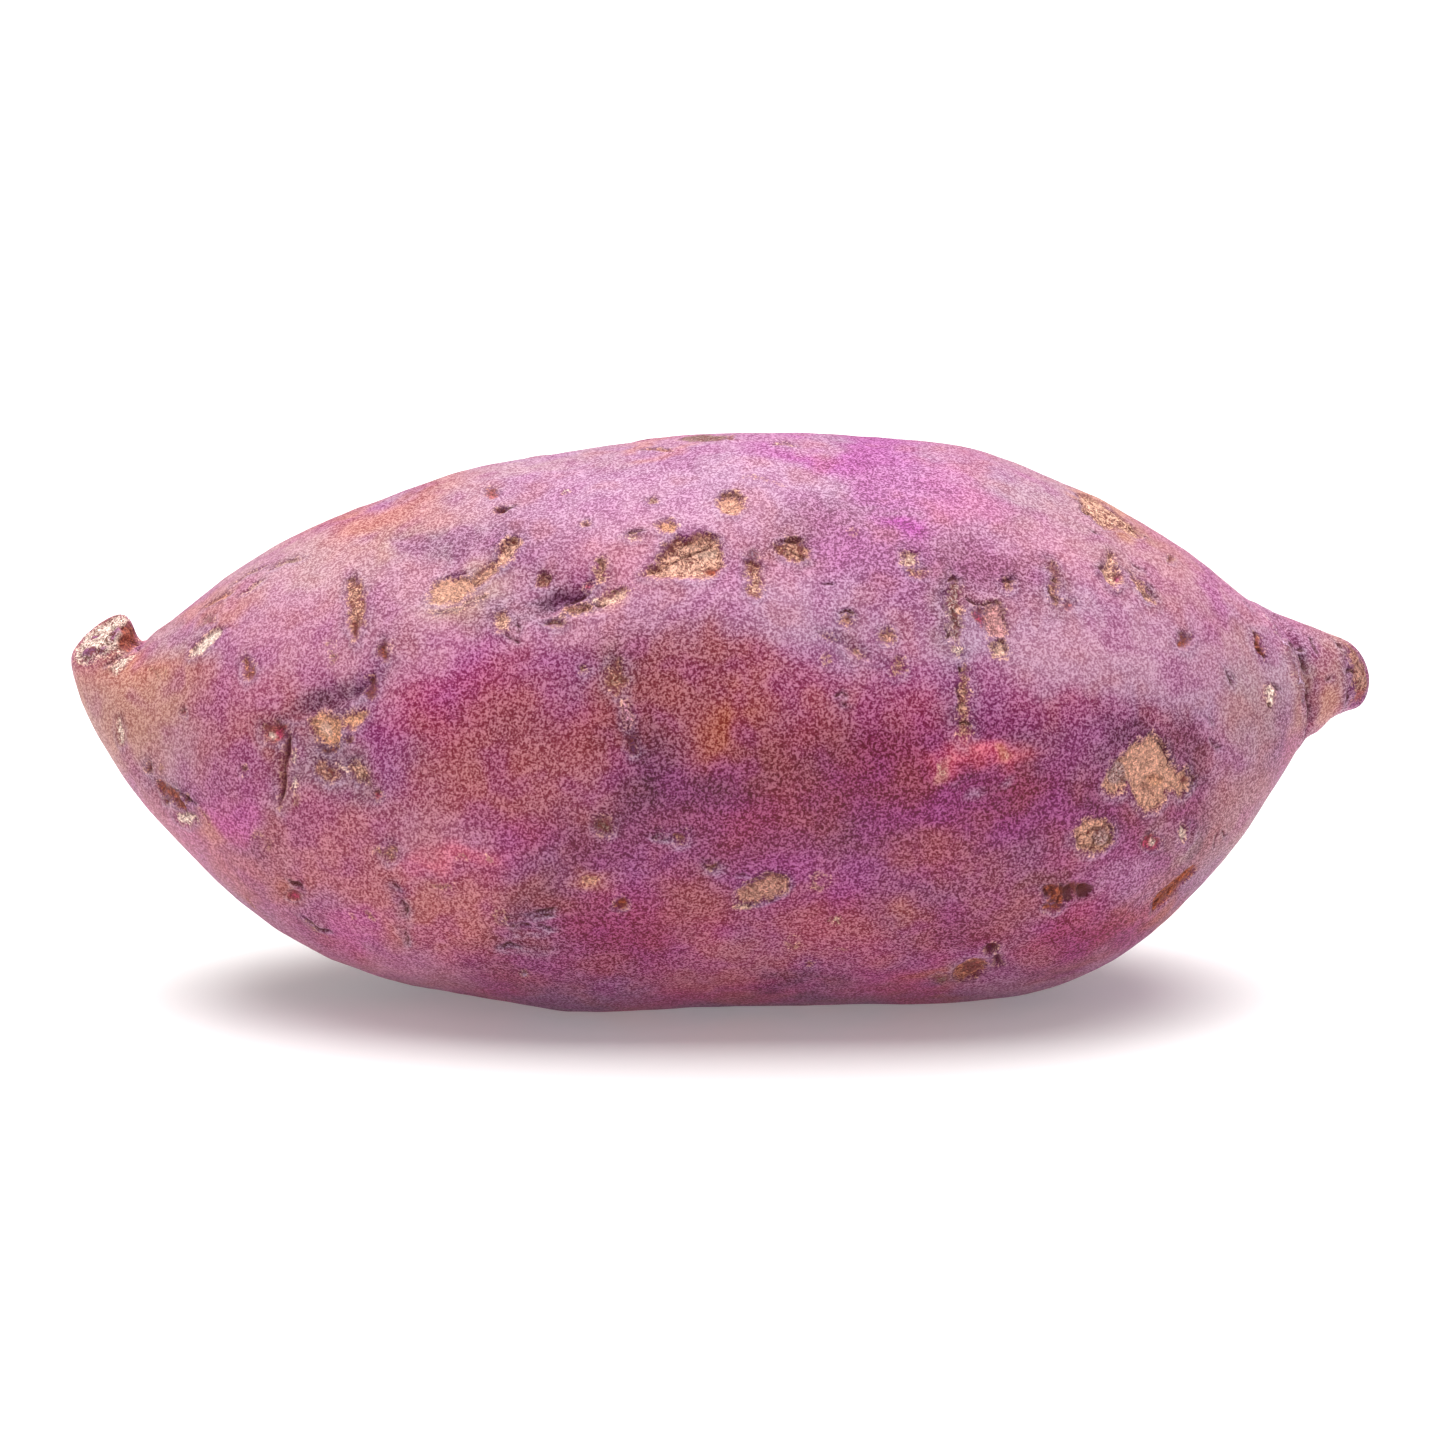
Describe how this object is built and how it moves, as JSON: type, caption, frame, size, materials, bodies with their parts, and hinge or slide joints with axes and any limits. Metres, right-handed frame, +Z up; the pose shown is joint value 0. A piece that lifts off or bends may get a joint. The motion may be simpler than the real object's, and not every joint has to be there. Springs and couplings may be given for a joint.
{
  "type": "sweet potato",
  "caption": "Plump spindle-shaped root lying on its side, with mottled purple skin, corky scars, a broken stalk end curling up and a short pointed tail.",
  "frame": {"origin": "centre of the bounding box's bottom, on the surface that the root lies on", "axes": "+X along the root from the stalk end to the tail, -Y towards the side that the picture shows, +Z up"},
  "size_m": [0.1696, 0.0724, 0.0742],
  "materials": {
    "skin": "matt mottled purple skin"
  },
  "bodies": {
    "root": {"sweet_potato": "skin"}
  },
  "joints": []
}
